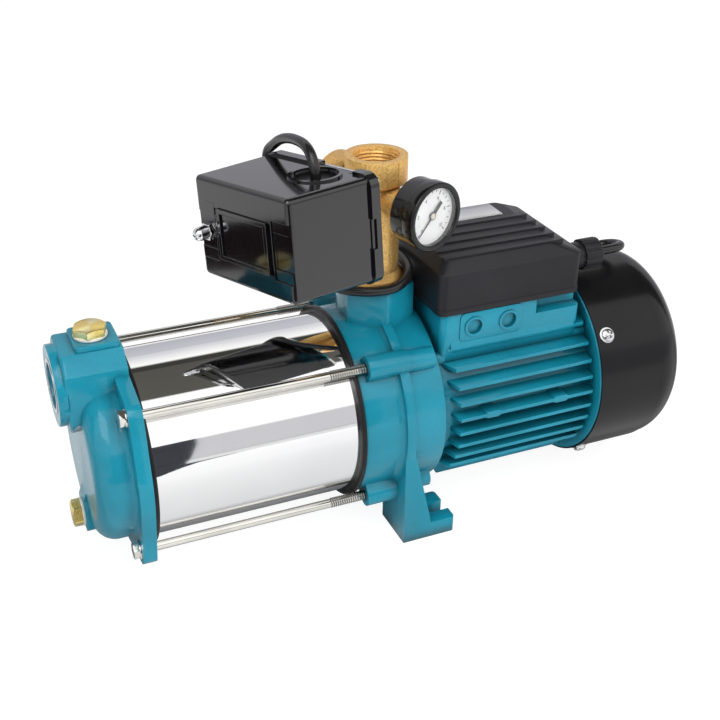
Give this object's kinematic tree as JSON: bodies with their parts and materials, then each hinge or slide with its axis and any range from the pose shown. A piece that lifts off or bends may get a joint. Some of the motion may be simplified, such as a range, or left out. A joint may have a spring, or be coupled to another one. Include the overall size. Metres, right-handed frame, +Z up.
{
  "type": "water pressure pump",
  "caption": "Self-priming multistage water pump with motor, threaded suction and delivery ports, brass manifold, pressure gauge and pressure switch on slotted feet.",
  "frame": {"origin": "on the floor under the shaft, midway between the arc centres of the two foot slots", "axes": "+Z up; +X along the shaft towards the motor and its fan cover; the suction port faces -X and the gauge is on the -Y side"},
  "size_m": [0.4385, 0.1505, 0.2822],
  "materials": {
    "turquoise_paint": "semi-gloss enamel over cast metal",
    "polished_steel": "mirror polished stainless",
    "zinc_steel": "zinc plated",
    "bearing_steel": "ground",
    "brass": "cast and turned brass",
    "rubber_black": "matt black",
    "stage_plastic": "moulded glass-filled plastic",
    "terminal_plastic": "moulded matt dark",
    "switch_plastic": "gloss black",
    "fan_cover_paint": "gloss black",
    "gauge_black": "satin black",
    "dial_white": "white enamel",
    "needle_black": "matt black",
    "lens_glass": "clear",
    "bare_aluminium": "as cast",
    "plate_silver": "satin, bare",
    "core_steel": "laminated",
    "copper": "varnished copper wire",
    "fan_plastic": "moulded black",
    "screw_chrome": "bright",
    "seal_ceramic": "lapped",
    "block_cream": "moulded cream",
    "washer_white": "moulded white"
  },
  "bodies": {
    "pump": {"suction_head": "turquoise_paint", "discharge_bracket": "turquoise_paint", "motor_housing": "turquoise_paint", "plug_washers": "washer_white", "barrel": "polished_steel", "barrel_gaskets": "rubber_black", "tie_bolts": "zinc_steel", "diffuser_1": "stage_plastic", "diffuser_2": "stage_plastic", "diffuser_3": "stage_plastic", "diffuser_4": "stage_plastic", "seal_seat": "seal_ceramic", "front_bearing_outer": "bearing_steel", "rear_bearing_outer": "bearing_steel", "stator_core": "core_steel", "stator_windings": "copper", "rear_end_shield": "turquoise_paint", "motor_bolts": "zinc_steel", "fan_cover": "fan_cover_paint", "fan_cover_screws": "screw_chrome", "terminal_cover": "terminal_plastic", "rating_plate": "plate_silver", "capacitor": "bare_aluminium", "terminal_block": "block_cream", "motor_gland": "terminal_plastic", "motor_gland_nut": "terminal_plastic", "manifold": "brass", "gauge_stem": "brass", "gauge_case": "gauge_black", "gauge_bezel": "gauge_black", "gauge_dial": "dial_white", "gauge_lens": "lens_glass", "switch_cover": "switch_plastic", "switch_grommet": "rubber_black", "switch_base": "zinc_steel", "switch_nipple": "zinc_steel", "switch_diaphragm": "rubber_black", "diaphragm_cap": "zinc_steel", "switch_stud": "zinc_steel", "switch_nut": "screw_chrome", "switch_spring": "zinc_steel", "contact_block": "block_cream", "lead": "rubber_black"},
    "rotor": {"shaft": "bearing_steel", "impeller_1": "stage_plastic", "impeller_2": "stage_plastic", "impeller_3": "stage_plastic", "impeller_4": "stage_plastic", "impeller_nut": "zinc_steel", "seal_head": "bearing_steel", "rotor_core": "bare_aluminium", "front_bearing_inner": "bearing_steel", "rear_bearing_inner": "bearing_steel", "cooling_fan": "fan_plastic"},
    "front_balls": {"front_bearing_balls": "bearing_steel"},
    "rear_balls": {"rear_bearing_balls": "bearing_steel"},
    "needle": {"gauge_needle": "needle_black"},
    "rocker": {"switch_rocker": "zinc_steel"},
    "priming_plug": {"priming_plug": "brass"},
    "drain_plug": {"drain_plug": "brass"}
  },
  "joints": [
    {"name": "rotor_spin", "type": "hinge", "parent": "pump", "child": "rotor", "pos_m": [0, 0, 0.085], "axis": [1, 0, 0], "continuous": true},
    {"name": "front_balls_roll", "type": "hinge", "parent": "pump", "child": "front_balls", "pos_m": [-0.001, 0, 0.085], "axis": [1, 0, 0], "continuous": true},
    {"name": "rear_balls_roll", "type": "hinge", "parent": "pump", "child": "rear_balls", "pos_m": [0.1175, 0, 0.085], "axis": [1, 0, 0], "continuous": true},
    {"name": "needle_turn", "type": "hinge", "parent": "pump", "child": "needle", "pos_m": [-0.00592, -0.04593, 0.233], "axis": [-0.3486, 0.9373, 0], "range_deg": [0, 270], "stiffness_Nm_per_rad": 0.0001, "springref_deg": -11.46},
    {"name": "rocker_tip", "type": "hinge", "parent": "pump", "child": "rocker", "pos_m": [-0.06613, -0.03607, 0.23096], "axis": [0.0328, -0.0882, -0.9956], "range_deg": [0, 2.5], "stiffness_Nm_per_rad": 0.05, "springref_deg": -5.73},
    {"name": "priming_plug_out", "type": "slide", "parent": "pump", "child": "priming_plug", "axis": [0, 0, 1], "range_m": [0, 0.014]},
    {"name": "drain_plug_out", "type": "slide", "parent": "pump", "child": "drain_plug", "axis": [-1, 0, 0], "range_m": [0, 0.014]}
  ],
  "couplings": [
    {"joint": "front_balls_roll", "follows": "rotor_spin", "ratio": 0.3818},
    {"joint": "rear_balls_roll", "follows": "rotor_spin", "ratio": 0.3808}
  ]
}
